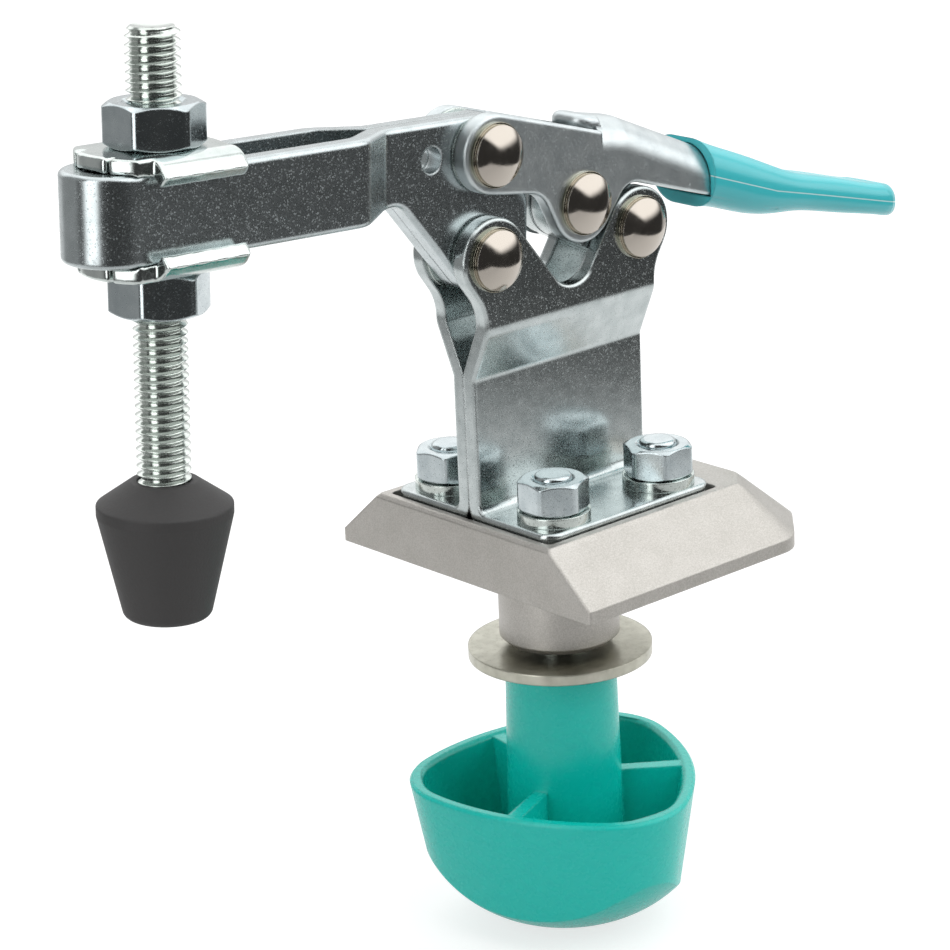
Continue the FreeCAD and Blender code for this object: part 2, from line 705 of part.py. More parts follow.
def handle_channel():
    """Folded lever: two cheeks joined by a rounded back, which ends in a free tab."""
    shape = handle_cheeks().fuse(handle_fold()).cut(handle_hollow())
    shape = shape.cut(handle_tab(TAB_SLIT)).fuse(handle_tab()).removeSplitter()
    for pivot in (HANDLE_ARM_PIVOT, HANDLE_LINK_PIVOT):
        shape = shape.cut(crosswise(RIVET_SHANK, pivot, HANDLE_OUTER + 1))
    return shape


def grip_section(x, centre, half_width, half_height):
    """Upright cross-section of the grip, a flat oval."""
    rounding = GRIP_CORNER_SHARE * min(half_width, half_height)
    corners = [(-1, -1), (1, -1), (1, 1), (-1, 1)]
    places = [(a * half_width, centre + b * half_height, rounding) for a, b in corners]
    return rounded(places, section(x))


def grip_tip_sections():
    """Cross-sections that close the grip in a rounded end."""
    x_last, centre_last, half_width, half_height = GRIP_STATIONS[-1]
    start = GRIP_TIP - GRIP_TIP_PLAN_ROUND
    sections = []
    for angle in GRIP_TIP_ANGLES:
        x = start + GRIP_TIP_PLAN_ROUND * math.sin(math.radians(angle))
        share = (x - x_last) / (GRIP_TIP - x_last)
        centre = centre_last + share * (GRIP_TIP_CENTRE - centre_last)
        width = half_width - GRIP_TIP_PLAN_ROUND * (1 - math.cos(math.radians(angle)))
        into = max(0.0, (x - GRIP_TIP + GRIP_TIP_SIDE_ROUND) / GRIP_TIP_SIDE_ROUND)
        height = half_height - GRIP_TIP_SIDE_ROUND * (1 - math.sqrt(1 - into**2))
        sections.append(grip_section(x, centre, width, height))
    return sections


def handle_grip():
    """Moulded grip, with a pocket that fits over the channel."""
    body = Part.makeLoft([grip_section(*station) for station in GRIP_STATIONS], True, False)
    tip_start = grip_section(*GRIP_STATIONS[-1])
    tip = Part.makeLoft([tip_start] + grip_tip_sections(), True, True)
    mouth = GRIP_STATIONS[0][0]
    end = HANDLE_END + GRIP_FIT
    places = [
        (mouth - 1, grip_pocket_floor(mouth - 1), 0),
        (end, grip_pocket_floor(end), 0),
        (end, handle_back(end, -GRIP_FIT), 0),
        (mouth - 1, handle_back(mouth - 1, -GRIP_FIT), 0),
    ]
    half = HANDLE_OUTER + GRIP_FIT
    pocket = prism(rounded(places, side(-half)), y=2 * half)

    def ridge(edge):
        bounds = edge.BoundBox
        return bounds.YLength < TOUCH and bounds.XLength > 1 and bounds.ZMax > handle_back(mouth)

    pocket = rolled(pocket, HANDLE_THICK + HANDLE_BEND, ridge)
    return body.fuse(tip).removeSplitter().cut(pocket)


def grip_pocket_floor(x):
    """Height of the pocket's floor, just under the channel's lower edges."""
    lobe = HANDLE_NOTCH[1] + HANDLE_NOTCH_ROUND
    end = handle_back(HANDLE_END) - HANDLE_END_DEPTH
    share = (x - HANDLE_NOTCH[0]) / (HANDLE_END - HANDLE_NOTCH[0])
    return lobe + share * (end - lobe) - GRIP_FIT


def upper_flanged_washer():
    """Plate on top of the arm, with two flaps bent down over the arm's edges."""
    middle = ARM_TOP + SEAT_GAP + FLANGED_THICK / 2
    reach = FLANGED_FOLD + FLAP_DROP
    path = [
        (reach, middle - FLAP_DROP),
        (FLANGED_FOLD, middle),
        (-FLANGED_FOLD, middle),
        (-reach, middle - FLAP_DROP),
    ]
    front = SPINDLE_OFFSET + FLANGED_SHIFT - FLANGED_RADIUS - 1
    length = 2 * FLANGED_RADIUS + 4
    sheet = prism(folded(path, FLANGED_THICK, FLANGED_BEND, section(front)), x=length)
    disc = upright(FLANGED_RADIUS, 0, 2 * ARM_TOP, SPINDLE_OFFSET + FLANGED_SHIFT)
    disc = disc.common(box((front, front + length), (-FLANGED_FOLD, FLANGED_FOLD), (0, 2 * ARM_TOP)))
    wide = reach + FLANGED_THICK
    places = [
        (SPINDLE_OFFSET + FLAP_FRONT, -wide, 0),
        (SPINDLE_OFFSET + FLAP_BACK, -wide, FLAP_ROUND),
        (SPINDLE_OFFSET + FLAP_BACK, wide, FLAP_ROUND),
        (SPINDLE_OFFSET + FLAP_FRONT, wide, 0),
    ]
    flaps = prism(rounded(places, plan(0)), z=2 * ARM_TOP)
    shape = sheet.common(disc.fuse(flaps)).removeSplitter()
    top = middle + FLANGED_THICK / 2
    centre = FreeCAD.Vector(SPINDLE_OFFSET + FLANGED_SHIFT, 0, top)

    def rim(edge):
        place = edge.valueAt(sum(edge.ParameterRange) / 2)
        return abs(place.z - top) < TOUCH and abs(place.distanceToPoint(centre) - FLANGED_RADIUS) < TOUCH

    shape = rolled(shape, FLANGED_EDGE_ROUND, rim)
    slit_end = SPINDLE_OFFSET + FLANGED_SHIFT - FLANGED_RADIUS + FLANGED_SLIT_DEPTH
    for y in (-FLANGED_SLIT_Y, FLANGED_SLIT_Y):
        sides = (y - FLANGED_SLIT_HALF, y + FLANGED_SLIT_HALF)
        shape = shape.cut(box((front, slit_end), sides, (0, 2 * ARM_TOP)))
    return shape.cut(upright(SPINDLE_RADIUS + FLANGED_BORE_GAP, 0, 2 * ARM_TOP, SPINDLE_OFFSET))


def lower_flanged_washer():
    """The upper flanged washer turned over, under the arm."""
    centre = FreeCAD.Vector(0, 0, (ARM_TOP + ARM_BOTTOM) / 2)
    return upper_flanged_washer().mirror(centre, FreeCAD.Vector(0, 0, 1))


def spindle_nut(bottom, turn):
    """Nut on the spindle, standing at a height above the arm's pivot."""
    shape = nut(SPINDLE_NUT_FLATS, SPINDLE_NUT_HEIGHT, SPINDLE_RADIUS + SPINDLE_GAP, turn)
    shape.translate(FreeCAD.Vector(SPINDLE_OFFSET, 0, bottom))
    return shape


def spindle_rod():
    """Threaded rod with a chamfered top, down into the cap."""
    foot = CAP_TOP - CAP_SOCKET
    shape = turned(
        [
            (0, foot),
            (SPINDLE_RADIUS, foot),
            (SPINDLE_RADIUS, SPINDLE_TOP - SPINDLE_TIP_CHAMFER),
            (SPINDLE_RADIUS - SPINDLE_TIP_CHAMFER, SPINDLE_TOP),
            (0, SPINDLE_TOP),
        ]
    )
    shape.translate(FreeCAD.Vector(SPINDLE_OFFSET, 0, 0))
    return shape


def rubber_cap():
    """Soft cap on the spindle: a flared collar and a cone down to the pressing face."""
    rim_top = CAP_TOP - CAP_FLARE_DROP
    foot = CAP_TOP - CAP_HEIGHT
    shape = turned(
        [
            (0, CAP_TOP - CAP_SOCKET),
            (0, foot),
            (CAP_FOOT_RADIUS, foot, CAP_FOOT_ROUND),
            (CAP_RADIUS, rim_top - CAP_RIM, CAP_EDGE_ROUND),
            (CAP_RADIUS, rim_top, CAP_EDGE_ROUND),
            (CAP_NECK, CAP_TOP, CAP_EDGE_ROUND),
            (SPINDLE_RADIUS, CAP_TOP),
            (SPINDLE_RADIUS, CAP_TOP - CAP_SOCKET),
        ]
    )
    shape.translate(FreeCAD.Vector(SPINDLE_OFFSET, 0, 0))
    return shape


def screw_stud(x, y):
    """Stud set in the block, with a domed end above its nut."""
    shape = turned(
        [
            (0, SCREW_FOOT),
            (SCREW_RADIUS, SCREW_FOOT),
            (SCREW_RADIUS, SCREW_TOP, SCREW_DOME),
            (0, SCREW_TOP),
        ]
    )
    shape.translate(FreeCAD.Vector(x, y, 0))
    return shape


def screw_nut(x, y, turn):
    """Nut that holds the plates down, on its washer."""
    shape = nut(SCREW_NUT_FLATS, SCREW_NUT_HEIGHT, SCREW_RADIUS, turn)
    shape.translate(FreeCAD.Vector(x, y, SCREW_SEAT))
    return shape


def knob_ring(depth, inset):
    """Outline of the knob at a depth below its rim: arcs for the lobes and flatter ones between."""
    share = 1 - KNOB_DRAFT * depth
    tip_round = KNOB_TIP_ROUND * share - inset
    tip_centre = (KNOB_TIP_RADIUS - KNOB_TIP_ROUND) * share
    side = KNOB_SIDE_RADIUS * share - inset
    flank = side - tip_round
    half_step = math.pi / KNOB_LOBES
    behind = (tip_centre**2 - flank**2) / (2 * (flank - tip_centre * math.cos(half_step)))

    def at(angle, distance):
        height = KNOB_RIM_HEIGHT - depth
        return FreeCAD.Vector(distance * math.cos(angle), distance * math.sin(angle), height)

    def meeting(lobe, middle):
        centre = at(middle, -behind)
        outward = at(lobe, tip_centre) - centre
        return centre + outward.normalize() * (behind + side)

    edges = []
    for i in range(KNOB_LOBES):
        lobe = math.radians(KNOB_LOBE_ANGLE) + 2 * half_step * i
        before, middle, after = lobe - half_step, lobe + half_step, lobe + 2 * half_step
        tip = at(lobe, tip_centre + tip_round)
        edges.append(Part.Arc(meeting(lobe, before), tip, meeting(lobe, middle)).toShape())
        edges.append(Part.Arc(meeting(lobe, middle), at(middle, side), meeting(after, middle)).toShape())
    return Part.Wire(edges)


def knob_bowl(inset, bottom):
    """Round bowl that the lobed wall runs into, down to a depth below the rim."""
    radius = KNOB_BOWL_RADIUS - inset
    points = []
    for i in range(KNOB_BOWL_POINTS):
        angle = math.pi / 2 * i / (KNOB_BOWL_POINTS - 1)
        out = radius * math.cos(angle) ** (2 / KNOB_BOWL_POWER) if i < KNOB_BOWL_POINTS - 1 else 0
        down = bottom * math.sin(angle) ** (2 / KNOB_BOWL_POWER)
        points.append(FreeCAD.Vector(out, 0, KNOB_RIM_HEIGHT - down))
    curve = Part.BSplineCurve()
    curve.interpolate(
        Points=points, InitialTangent=FreeCAD.Vector(0, 0, -1), FinalTangent=FreeCAD.Vector(-1, 0, 0)
    )
    above = KNOB_RIM_HEIGHT + KNOB_WALL
    high = FreeCAD.Vector(radius, 0, above)
    top = FreeCAD.Vector(0, 0, above)
    lines = [(points[-1], top), (top, high), (high, points[0])]
    edges = [curve.toShape()] + [Part.LineSegment(*ends).toShape() for ends in lines]
    face = Part.Face(Part.Wire(edges))
    return face.revolve(FreeCAD.Vector(0, 0, 0), FreeCAD.Vector(0, 0, 1), 360)


def knob_form(stations, inset, bottom):
    """Solid through rings (depth, inset), cut off by the bowl."""
    wall = Part.makeLoft([knob_ring(*station) for station in stations], True, True)
    return wall.common(knob_bowl(inset, bottom))


def knob_shaft_radius(height):
    """The shaft widens a little downwards, as a moulded one does."""
    return KNOB_SHAFT_TOP_RADIUS + KNOB_SHAFT_TAPER * (CLAMP_WASHER_BOTTOM - height)


def hand_knob():
    """Cup-shaped knob: lobed wall, shaft in the middle and ribs between the two."""
    floor = KNOB_RIM_HEIGHT - KNOB_FLOOR
    chamfer = KNOB_EDGE_CHAMFER
    outside = [(0, chamfer), (chamfer, 0), (KNOB_BOWL_DEPTH, 0)]
    inside = [(-1, KNOB_WALL - chamfer - 1), (chamfer, KNOB_WALL), (KNOB_BOWL_DEPTH, KNOB_WALL)]
    middle = [(KNOB_RIB_DROP, KNOB_WALL / 2), (KNOB_BOWL_DEPTH, KNOB_WALL / 2)]
    shape = knob_form(outside, 0, KNOB_BOWL_DEPTH)
    shape = shape.cut(knob_form(inside, KNOB_WALL, KNOB_FLOOR))
    shaft = turned(
        [
            (0, floor - 1),
            (knob_shaft_radius(floor - 1), floor - 1),
            (KNOB_SHAFT_TOP_RADIUS, CLAMP_WASHER_BOTTOM, KNOB_SHAFT_ROUND),
            (0, CLAMP_WASHER_BOTTOM),
        ]
    )
    core = knob_form(middle, KNOB_WALL / 2, KNOB_FLOOR + KNOB_WALL / 2)
    for i in range(KNOB_LOBES):
        rib = box(
            (KNOB_SHAFT_TOP_RADIUS - 2, KNOB_TIP_RADIUS),
            (-KNOB_RIB_THICK / 2, KNOB_RIB_THICK / 2),
            (floor - 1, KNOB_RIM_HEIGHT - KNOB_RIB_DROP),
        )
        angle = KNOB_LOBE_ANGLE + 360 * (i + 0.5) / KNOB_LOBES
        rib.rotate(FreeCAD.Vector(0, 0, 0), FreeCAD.Vector(0, 0, 1), angle)
        shape = shape.fuse(rib.common(core))
    shape = shape.fuse(shaft)
    return shape.cut(upright(STUD_RADIUS, CLAMP_WASHER_BOTTOM - STUD_GRIP, CLAMP_WASHER_BOTTOM + 1))


def knob_stud():
    """Stud of the knob, up through the washer into the spigot."""
    return upright(STUD_RADIUS, CLAMP_WASHER_BOTTOM - STUD_GRIP, STUD_TOP)


def linkage():
    """Plates, arm, links, handle and their rivets."""
    plate = far_base_plate()
    link = far_toggle_link()
    arm_spacer = far_spacer(ARM_PIVOT)
    handle_spacer = far_spacer(HANDLE_ARM_PIVOT)
    return {
        "far_base_plate": plate,
        "near_base_plate": far_twin(plate),
        "arm_rivet": rivet(ARM_PIVOT),
        "link_rivet": rivet(LINK_PIVOT),
        "far_arm_spacer": arm_spacer,
        "near_arm_spacer": far_twin(arm_spacer),
        "clamp_arm": clamp_arm(),
        "far_toggle_link": link,
        "near_toggle_link": far_twin(link),
        "handle_channel": handle_channel(),
        "handle_grip": handle_grip(),
        "handle_arm_rivet": rivet(HANDLE_ARM_PIVOT),
        "handle_link_rivet": rivet(HANDLE_LINK_PIVOT),
        "far_handle_spacer": handle_spacer,
        "near_handle_spacer": far_twin(handle_spacer),
    }


def spindle_group():
    """Spindle, cap, nuts and flanged washers, each tilted with the arm."""
    above = ARM_TOP + SEAT_GAP + FLANGED_THICK
    below = ARM_BOTTOM - SEAT_GAP - FLANGED_THICK - SPINDLE_NUT_HEIGHT
    pieces = {
        "upper_flanged_washer": upper_flanged_washer(),
        "lower_flanged_washer": lower_flanged_washer(),
        "upper_spindle_nut": spindle_nut(above, SPINDLE_NUT_TURNS[0]),
        "lower_spindle_nut": spindle_nut(below, SPINDLE_NUT_TURNS[1]),
        "spindle_rod": spindle_rod(),
        "rubber_cap": rubber_cap(),
    }
    return {name: tilted(shape) for name, shape in pieces.items()}


def base_screws():
    """Stud, washer and nut at each corner of the plates' flanges."""
    pieces = {}
    bore = SCREW_RADIUS + SCREW_HOLE_GAP
    for name, (x, y) in SCREWS.items():
        pieces[name + "_stud"] = screw_stud(x, y)
        pieces[name + "_washer"] = washer(SCREW_WASHER_RADIUS, bore, FLANGE_TOP, SCREW_WASHER_THICK, x, y)
        pieces[name + "_nut"] = screw_nut(x, y, SCREW_NUT_TURNS[name])
    return pieces


def bench_fixing():
    """Washer and knob that draw the clamp down on a bench."""
    bore = STUD_RADIUS + STUD_GAP
    return {
        "clamp_washer": washer(CLAMP_WASHER_RADIUS, bore, CLAMP_WASHER_BOTTOM, CLAMP_WASHER_THICK),
        "hand_knob": hand_knob(),
        "knob_stud": knob_stud(),
    }


def build():
    """All pieces by name."""
    return {
        "base_block": base_block(),
        **base_screws(),
        **linkage(),
        **spindle_group(),
        **bench_fixing(),
    }


def main():
    """Writes one file for each piece."""
    os.makedirs("parts", exist_ok=True)
    for name, shape in build().items():
        solid = shape.Solids[0]
        solid.exportStep(os.path.join("parts", name + ".step"))
        print(name, len(shape.Solids), round(solid.Volume, 1), solid.isValid())


main()
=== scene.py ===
import json
import math

import bmesh
import bpy
from mathutils import Matrix, Vector


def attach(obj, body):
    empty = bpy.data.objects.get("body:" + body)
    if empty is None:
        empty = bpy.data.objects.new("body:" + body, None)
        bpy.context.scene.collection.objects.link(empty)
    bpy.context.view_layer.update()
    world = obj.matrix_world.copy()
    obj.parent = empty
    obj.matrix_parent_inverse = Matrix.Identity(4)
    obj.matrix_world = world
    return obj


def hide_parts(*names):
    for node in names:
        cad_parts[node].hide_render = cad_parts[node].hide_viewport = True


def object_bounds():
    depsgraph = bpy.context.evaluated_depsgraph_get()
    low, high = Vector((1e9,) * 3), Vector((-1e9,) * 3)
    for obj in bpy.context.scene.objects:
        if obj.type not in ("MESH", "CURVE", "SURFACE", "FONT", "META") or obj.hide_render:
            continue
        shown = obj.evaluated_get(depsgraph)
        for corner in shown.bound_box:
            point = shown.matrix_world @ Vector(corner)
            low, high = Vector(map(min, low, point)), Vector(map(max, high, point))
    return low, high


# Quick clamp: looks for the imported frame. Sizes are in metres, in the frame's own axes.
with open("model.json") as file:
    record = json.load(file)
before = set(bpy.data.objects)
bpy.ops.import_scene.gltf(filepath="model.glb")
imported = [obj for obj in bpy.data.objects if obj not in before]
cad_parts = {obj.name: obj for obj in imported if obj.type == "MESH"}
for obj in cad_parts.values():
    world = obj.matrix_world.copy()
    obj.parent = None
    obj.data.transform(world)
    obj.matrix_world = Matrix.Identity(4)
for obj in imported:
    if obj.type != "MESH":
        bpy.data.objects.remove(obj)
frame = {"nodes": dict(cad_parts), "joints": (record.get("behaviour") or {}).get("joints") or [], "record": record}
cad_low, cad_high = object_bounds()
MM = 0.001

# The photograph's camera, fitted to the pivots, the spindle and the block
CAMERA_PLACE = Vector((-0.327616, -0.354778, 0.174526))
CAMERA_TURN = math.radians(-41.223)
CAMERA_RISE = math.radians(18.506)
CAMERA_ROLL = math.radians(-2.451)
CAMERA_LENS = 121.05
CAMERA_SENSOR = 36.0

# The arm's own axes, from the frame's joints: its pivot, and its tilt in the closed clamp
joints = {joint["name"]: joint for joint in frame["joints"]}
ARM_PIVOT = Vector(joints["arm_swing"]["pos_m"])
SPINDLE_AXIS = Vector(joints["spindle_height"]["axis"])
ARM_TILT = math.atan2(SPINDLE_AXIS.x, SPINDLE_AXIS.z)
TO_ARM = Matrix.Translation(ARM_PIVOT) @ Matrix.Rotation(ARM_TILT, 4, "Y")

# Spindle, in the arm's axes: an M8 thread with its standard pitch, and the dish in its top
SPINDLE_OFFSET = -58.46 * MM
THREAD_CREST = 3.92 * MM
THREAD_ROOT = 3.16 * MM
THREAD_PITCH = 1.25 * MM
THREAD_CHAMFER = 0.8 * MM
SPINDLE_FOOT = -36.4 * MM
SPINDLE_TOP = 40.55 * MM
SPINDLE_DISH = 0.5 * MM
THREAD_STEPS = 16
THREAD_SIDES = 48

# Share of the pitch at which a flank starts and ends, and how hollow the rolling leaves it
FLANK_FOOT = 7 / 16
FLANK_CREST = 1 / 32
FLANK_HOLLOW = 1.35

# Nuts: across flats, height, bore radius and the countersink at each end. Their places are in mm,
# the spindle's in the arm's axes, with the turn of each nut in degrees.
SPINDLE_NUT = (13.0 * MM, 6.3 * MM, 3.98 * MM, 0.55 * MM)
SPINDLE_NUT_PLACES = [(-58.46, 0.0, 23.85, 31.0), (-58.46, 0.0, 0.15, 35.0)]
SCREW_NUT = (10.0 * MM, 5.0 * MM, 2.97 * MM, 0.5 * MM)
SCREW_NUT_PLACES = [
    (-11.4, -12.0, 12.57, 25.0),
    (11.4, -12.0, 12.57, 0.0),
    (-11.4, 12.0, 12.57, 40.0),
    (11.4, 12.0, 12.57, 12.0),
]
NUT_SIDES = 96
NUT_CHAMFER = math.radians(30)
NUT_FACE_SHARE = 0.96
NUT_CORNER_SHARE = 1.125

# Flanged washers: size of the skin laid over the plain ones, and how often it is smoothed
PRESSED_SKIN = 0.2 * MM
PRESSED_PASSES = 14

# Points this close are joined, and a grown piece's edges are sharp from this angle
JOINED = 0.002 * MM
SHARP_ANGLE = math.radians(28)

# Share of the zinc's grains that stay bright, and the size of its stains
BRIGHT_GRAINS = 0.84
STAIN = 2.5 * MM

# Distance from the middle plane at which a rivet's collar ends and its head begins
RIVET_COLLAR = 6.45 * MM
RIVET_HEAD = 6.6 * MM

# Middle of the grip's sides in two straight runs, in mm: X from and to, Z from and to. Then half the
# width of the painted highlight along its parting line, where it is whole and where it has faded.
GRIP_MIDDLE = [(30.5, 45.0, 56.4, 51.3), (45.0, 79.2, 51.3, 42.4)]
PARTING_HIGHLIGHT_CORE = 0.05 * MM
PARTING_HIGHLIGHT_EDGE = 0.14 * MM

# Soft boxes round the clamp, in degrees: middle, half width, low and high edge, softness, lean of the
# left edge. Then the strength of each, on top of the dim room.
SOFT_BOXES = [
    ((-35, 26, 3, 58, 12, 0.5), 1.9),
    ((189, 15, -14, 50, 8), 2.5),
    ((49, 52, -40, 58, 10), 0.7),
    ((49, 52, 14, 58, 8), 0.7),
    ((128, 28, -40, 50, 12), 0.3),
    ((0, 360, 55, 120, 14), 1.4),
]
DIM_ROOM = 0.05

# Table, from the clamp: right and away from the camera, and how bright it is in front and behind
TABLE_CORNERS = [(-0.32, -0.27), (0.27, -0.27), (0.27, 0.95), (-0.32, 0.95)]
TABLE_DROP = 0.3 * MM
TABLE_FADE = 0.15
TABLE_FRONT = 0.3
TABLE_BACK = 0.72


def linear(code):
    """An sRGB hex colour as the linear RGBA that a shader takes."""
    values = [int(code[i : i + 2], 16) / 255 for i in (1, 3, 5)]
    return (*[v / 12.92 if v <= 0.04045 else ((v + 0.055) / 1.055) ** 2.4 for v in values], 1.0)


def add(tree, kind, sockets=None, **settings):
    """A node of a kind with its settings. Each socket takes a value, or a link from a node or socket."""
    node = tree.nodes.new(kind)
    for name, value in settings.items():
        setattr(node, name, value)
    for target, source in (sockets or {}).items():
        if isinstance(source, bpy.types.Node):
            tree.links.new(source.outputs[0], node.inputs[target])
        elif isinstance(source, bpy.types.NodeSocket):
            tree.links.new(source, node.inputs[target])
        else:
            node.inputs[target].default_value = source
    return node


def surface(name):
    """An empty material, its tree and its output node."""
    material = bpy.data.materials.new(name)
    material.use_nodes = True
    tree = material.node_tree
    tree.nodes.clear()
    return material, tree, add(tree, "ShaderNodeOutputMaterial")


def zinc_plate(name, dark, pale, gloss, grain, dull, relief, edge):
    """Bright zinc plating on steel, passivated clear: a cool mirror, sown with dull grains that
    sparkle where it reflects something dark and vanish where it reflects something pale.

    The real grains are finer than a pixel and are drawn coarser, so that they show.
    """
    material, tree, output = surface(name)
    place = add(tree, "ShaderNodeTexCoord").outputs["Object"]
    grains = add(tree, "ShaderNodeTexVoronoi", {"Vector": place, "Scale": 1 / (grain * MM)})
    pick = add(tree, "ShaderNodeSeparateColor", {0: grains.outputs["Color"]})
    cloud = add(tree, "ShaderNodeTexNoise", {"Vector": place, "Scale": 1 / STAIN, "Detail": 4.0})
    tone = add(tree, "ShaderNodeValToRGB", {"Fac": cloud.outputs["Fac"]})
    tone.color_ramp.elements[0].position = 0.3
    tone.color_ramp.elements[0].color = linear(dark)
    tone.color_ramp.elements[1].position = 0.7
    tone.color_ramp.elements[1].color = linear(pale)
    rough = add(
        tree, "ShaderNodeMapRange",
        {
            "Value": pick.outputs["Red"],
            "From Min": BRIGHT_GRAINS,
            "From Max": 1.0,
            "To Min": gloss,
            "To Max": dull,
        },
    )
    rounded = add(tree, "ShaderNodeBevel", {"Radius": edge * MM}, samples=6)
    bump = add(
        tree, "ShaderNodeBump",
        {"Strength": 1.0, "Distance": relief * MM, "Height": cloud.outputs["Fac"], "Normal": rounded},
    )
    shader = add(
        tree, "ShaderNodeBsdfPrincipled",
        {"Base Color": tone, "Metallic": 1.0, "Roughness": rough, "Normal": bump},
    )
    tree.links.new(shader.outputs[0], output.inputs["Surface"])
    return material


def nickel_rivet(name):
    """Nickel-plated steel head, tumbled to a mirror, warmer than the zinc beside it, on a collar of a
    duller, yellower grey."""
    material, tree, output = surface(name)
    place = add(tree, "ShaderNodeTexCoord").outputs["Object"]
    haze = add(tree, "ShaderNodeTexNoise", {"Vector": place, "Scale": 1 / (1.2 * MM), "Detail": 4.0})
    across = add(tree, "ShaderNodeSeparateXYZ", {0: place})
    reach = add(tree, "ShaderNodeMath", {0: across.outputs["Y"]}, operation="ABSOLUTE")
    tone = add(
        tree, "ShaderNodeMapRange",
        {"Value": reach, "From Min": RIVET_COLLAR, "From Max": RIVET_HEAD},
    )
    colour = add(tree, "ShaderNodeValToRGB", {"Fac": tone.outputs["Result"]})
    colour.color_ramp.elements[0].color = linear("#A9A592")
    colour.color_ramp.elements[1].color = linear("#B5AEA5")
    rough = add(
        tree, "ShaderNodeMapRange",
        {
            "Value": haze.outputs["Fac"],
            "From Min": 0.35,
            "From Max": 0.65,
            "To Min": 0.09,
            "To Max": 0.16,
        },
    )
    rounded = add(tree, "ShaderNodeBevel", {"Radius": 0.15 * MM}, samples=6)
    shader = add(
        tree, "ShaderNodeBsdfPrincipled",
        {"Base Color": colour, "Metallic": 1.0, "Roughness": rough, "Normal": rounded},
    )
    tree.links.new(shader.outputs[0], output.inputs["Surface"])
    return material


def blasted_casting(name):
    """Die-cast aluminium, blasted with fine shot: an even, satin warm grey with a sandy grain."""
    material, tree, output = surface(name)
    place = add(tree, "ShaderNodeTexCoord").outputs["Object"]
    shot = add(tree, "ShaderNodeTexNoise", {"Vector": place, "Scale": 1 / (0.22 * MM), "Detail": 2.0})
    cloud = add(tree, "ShaderNodeTexNoise", {"Vector": place, "Scale": 1 / (6 * MM), "Detail": 2.0})
    mixed = add(
        tree, "ShaderNodeMath",
        {0: cloud.outputs["Fac"], 1: 0.35, 2: shot.outputs["Fac"]}, operation="MULTIPLY_ADD",
    )
    tone = add(tree, "ShaderNodeValToRGB", {"Fac": mixed})
    tone.color_ramp.elements[0].position = 0.5
    tone.color_ramp.elements[0].color = linear("#B1AEA8")
    tone.color_ramp.elements[1].position = 0.85
    tone.color_ramp.elements[1].color = linear("#C5C2BD")
    rounded = add(tree, "ShaderNodeBevel", {"Radius": 0.4 * MM}, samples=6)
    bump = add(
        tree, "ShaderNodeBump",
        {"Strength": 1.0, "Distance": 0.03 * MM, "Height": shot.outputs["Fac"], "Normal": rounded},
    )
    shader = add(
        tree, "ShaderNodeBsdfPrincipled",
        {"Base Color": tone, "Metallic": 0.85, "Roughness": 0.44, "Normal": bump},
    )
    tree.links.new(shader.outputs[0], output.inputs["Surface"])
    return material


def parting_highlight(tree, place):
    """Where the two halves of the grip's mould met: a hair line along the middle of each side, the mask of a
    highlight painted along the seam's ridge.
    """
    axes = add(tree, "ShaderNodeSeparateXYZ", {0: place})
    runs = []
    for near, far, start, end in GRIP_MIDDLE:
        ends = {
            "From Min": near * MM,
            "From Max": far * MM,
            "To Min": start * MM,
            "To Max": end * MM,
        }
        sockets = {"Value": axes.outputs["X"], **ends}
        runs.append(add(tree, "ShaderNodeMapRange", sockets, clamp=False))
    middle = add(tree, "ShaderNodeMath", {0: runs[0], 1: runs[1]}, operation="MAXIMUM")
    off = add(tree, "ShaderNodeMath", {0: axes.outputs["Z"], 1: middle}, operation="SUBTRACT")
    away = add(tree, "ShaderNodeMath", {0: off}, operation="ABSOLUTE")
    return add(
        tree, "ShaderNodeMapRange",
        {"Value": away, "From Min": PARTING_HIGHLIGHT_EDGE, "From Max": PARTING_HIGHLIGHT_CORE},
    )


def moulded(name, colour, gloss, grain, relief, edge, seam_highlight=None):
    """Injection-moulded plastic: one colour all through, with the faint orange peel of its mould,
    and a painted highlight, a paler parting line along the seam's ridge, where a colour for it is given."""
    material, tree, output = surface(name)
    place = add(tree, "ShaderNodeTexCoord").outputs["Object"]
    peel = add(tree, "ShaderNodeTexNoise", {"Vector": place, "Scale": 1 / (grain * MM), "Detail": 3.0})
    rough = add(
        tree, "ShaderNodeMapRange",
        {
            "Value": peel.outputs["Fac"],
            "From Min": 0.3,
            "From Max": 0.7,
            "To Min": gloss - 0.03,
            "To Max": gloss + 0.03,
        },
    )
    rounded = add(tree, "ShaderNodeBevel", {"Radius": edge * MM}, samples=6)
    bump = add(
        tree, "ShaderNodeBump",
        {"Strength": 1.0, "Distance": relief * MM, "Height": peel.outputs["Fac"], "Normal": rounded},
    )
    shader = add(
        tree, "ShaderNodeBsdfPrincipled",
        {"Base Color": linear(colour), "Roughness": rough, "Normal": bump},
    )
    # The parting line is painted paler: a painted highlight where the mould seam's ridge would catch light.
    if seam_highlight:
        tone = add(tree, "ShaderNodeValToRGB", {"Fac": parting_highlight(tree, place)})
        tone.color_ramp.elements[0].color = linear(colour)
        tone.color_ramp.elements[1].color = linear(seam_highlight)
        tree.links.new(tone.outputs["Color"], shader.inputs["Base Color"])
    tree.links.new(shader.outputs[0], output.inputs["Surface"])
    return material


# Rolled strap of the arm: nearly a mirror, so its sides stay dark and its bend carries one bright bar
ARM_ZINC = zinc_plate("zinc_plated_strap", "#B5BDBE", "#C6CED0", 0.235, 0.19, 0.45, 0.012, 0.5)
# Sheet of the two bent plates: a little duller, which spreads the nuts' reflections into soft clouds
PLATE_ZINC = zinc_plate("zinc_plated_sheet", "#B4BCBC", "#C8CFCF", 0.20, 0.19, 0.42, 0.012, 0.6)
